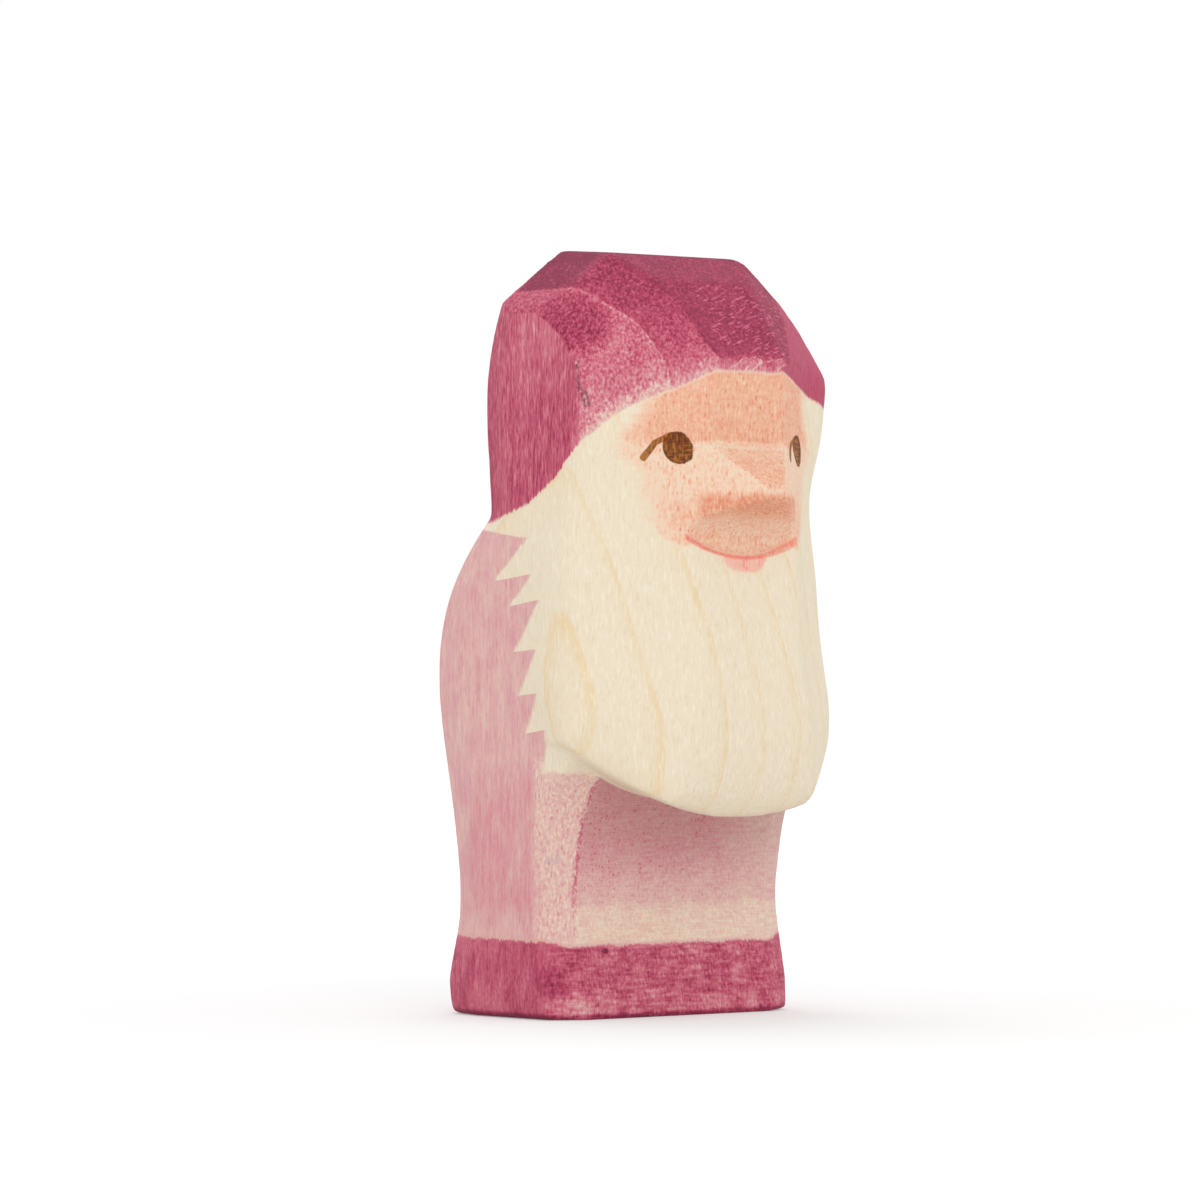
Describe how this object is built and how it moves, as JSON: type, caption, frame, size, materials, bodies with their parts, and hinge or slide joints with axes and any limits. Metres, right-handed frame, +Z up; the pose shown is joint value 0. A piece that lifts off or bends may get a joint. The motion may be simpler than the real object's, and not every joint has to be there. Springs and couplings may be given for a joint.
{
  "type": "carved gnome figurine",
  "caption": "Small stained-wood gnome with a hood-like hat, round nose and long beard, knife-carved to stand on a flat base.",
  "frame": {"origin": "on the table under the middle of the figure", "axes": "+Z up, -Y the way the gnome looks, X across the figure"},
  "size_m": [0.032, 0.033, 0.0695],
  "materials": {
    "hat_stain": "maple with transparent plum-magenta water stain, matt oiled",
    "face_tint": "maple with thin peach stain, rosy nose and cheeks, matt oiled",
    "bare_wood": "unstained pale maple, knife-cut and lightly sanded, matt oiled",
    "coat_stain": "maple with thin dusty-pink stain, uneven, matt oiled",
    "hem_stain": "maple with stronger magenta stain, darker at the rim, matt oiled"
  },
  "bodies": {
    "root": {"hat": "hat_stain", "face": "face_tint", "beard": "bare_wood", "coat": "coat_stain", "hem_band": "hem_stain"}
  },
  "joints": []
}
